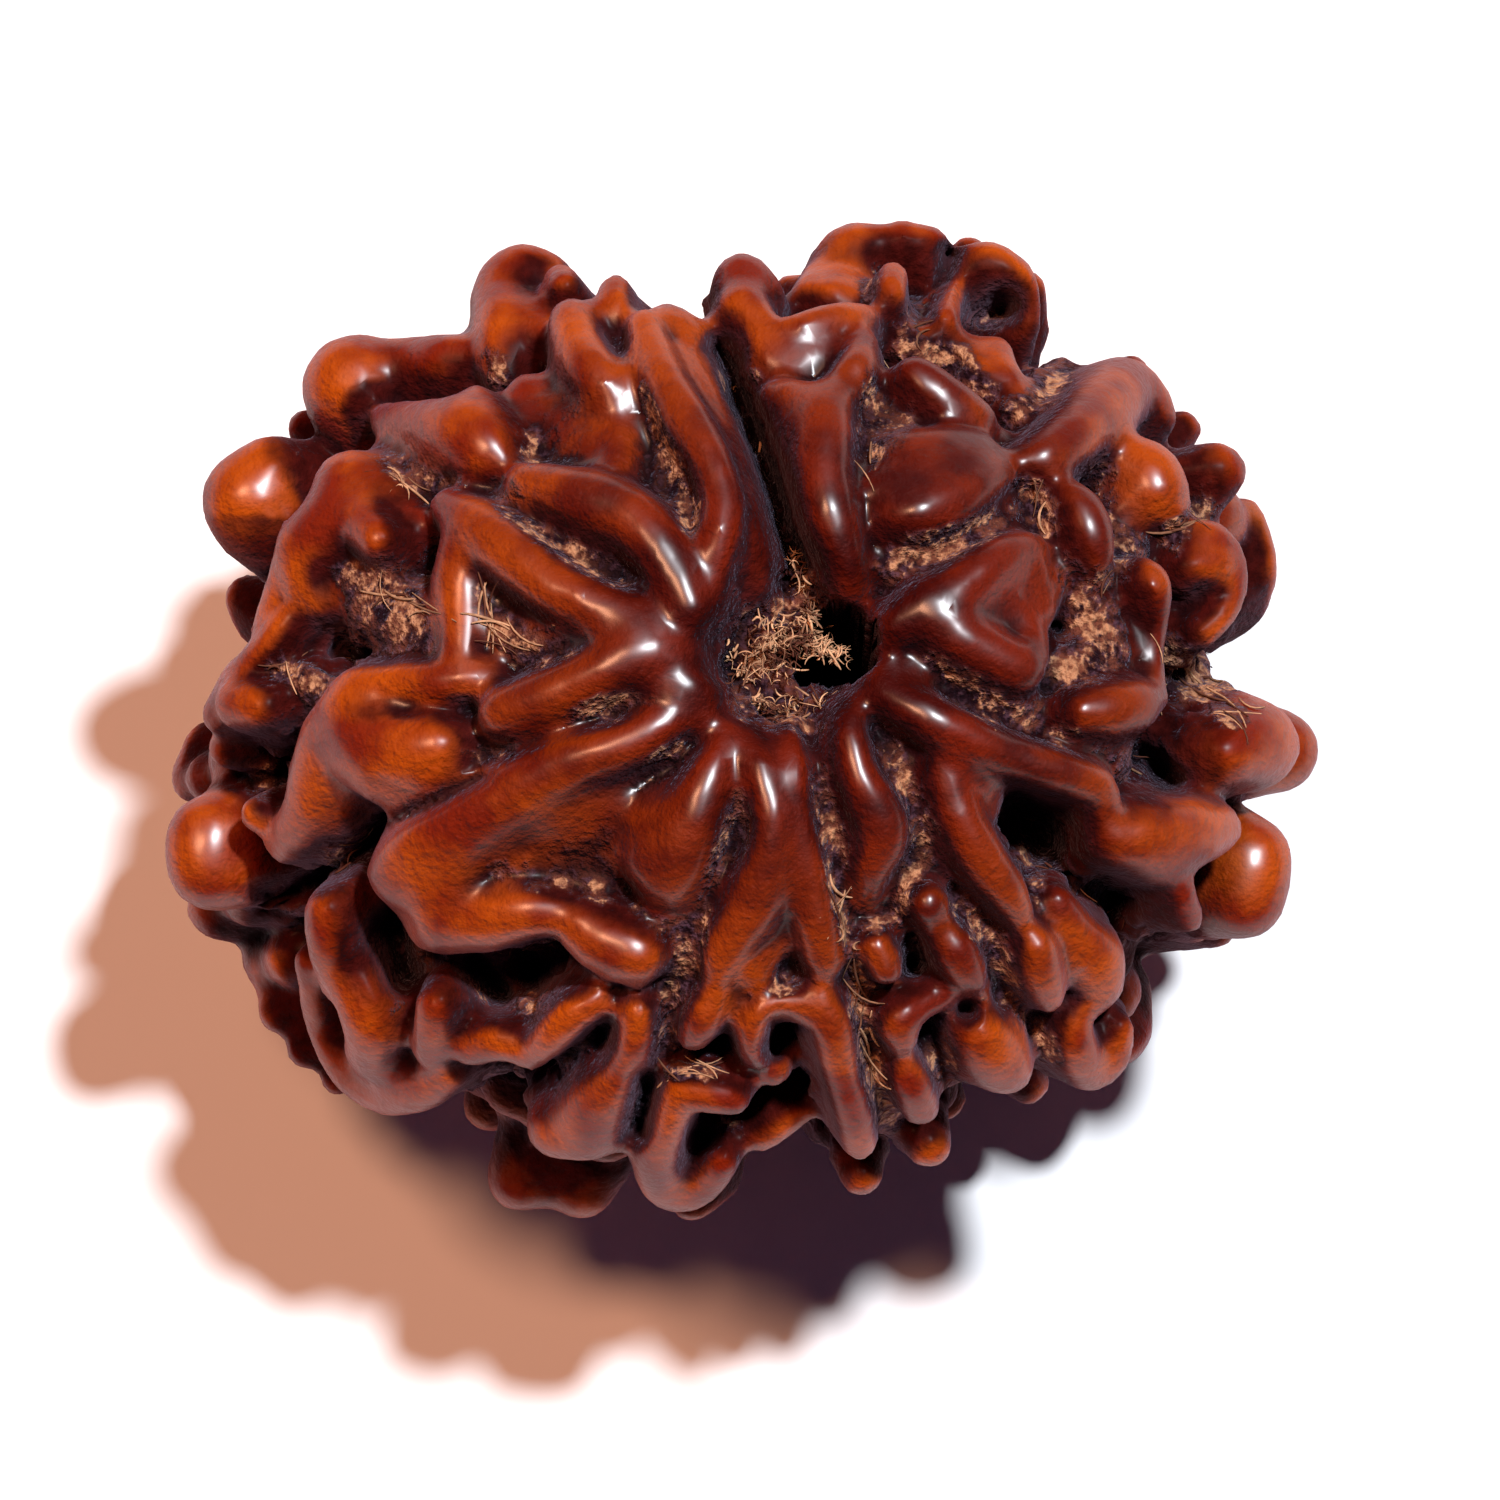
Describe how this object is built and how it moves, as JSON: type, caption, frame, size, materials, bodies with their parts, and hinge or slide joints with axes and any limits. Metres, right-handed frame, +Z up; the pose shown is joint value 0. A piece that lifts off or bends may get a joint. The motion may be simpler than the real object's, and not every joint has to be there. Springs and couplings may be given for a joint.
{
  "type": "rudraksha bead",
  "caption": "Dried fruit stone used as a bead: a slightly flattened ball of branching ridges and rounded knobs, with a natural thread bore from pole to pole.",
  "frame": {"origin": "under the middle of the stone's bounding box, on the surface it rests on", "axes": "+Z up along the thread bore, +X along the stone's longest side, +Y away from the viewer of the picture"},
  "size_m": [0.0296, 0.0256, 0.0225],
  "materials": {
    "stone": "dried fruit stone, oiled and polished to a deep gloss on its ridges, dull and fibrous in its valleys"
  },
  "bodies": {
    "root": {"bead": "stone"}
  },
  "joints": []
}
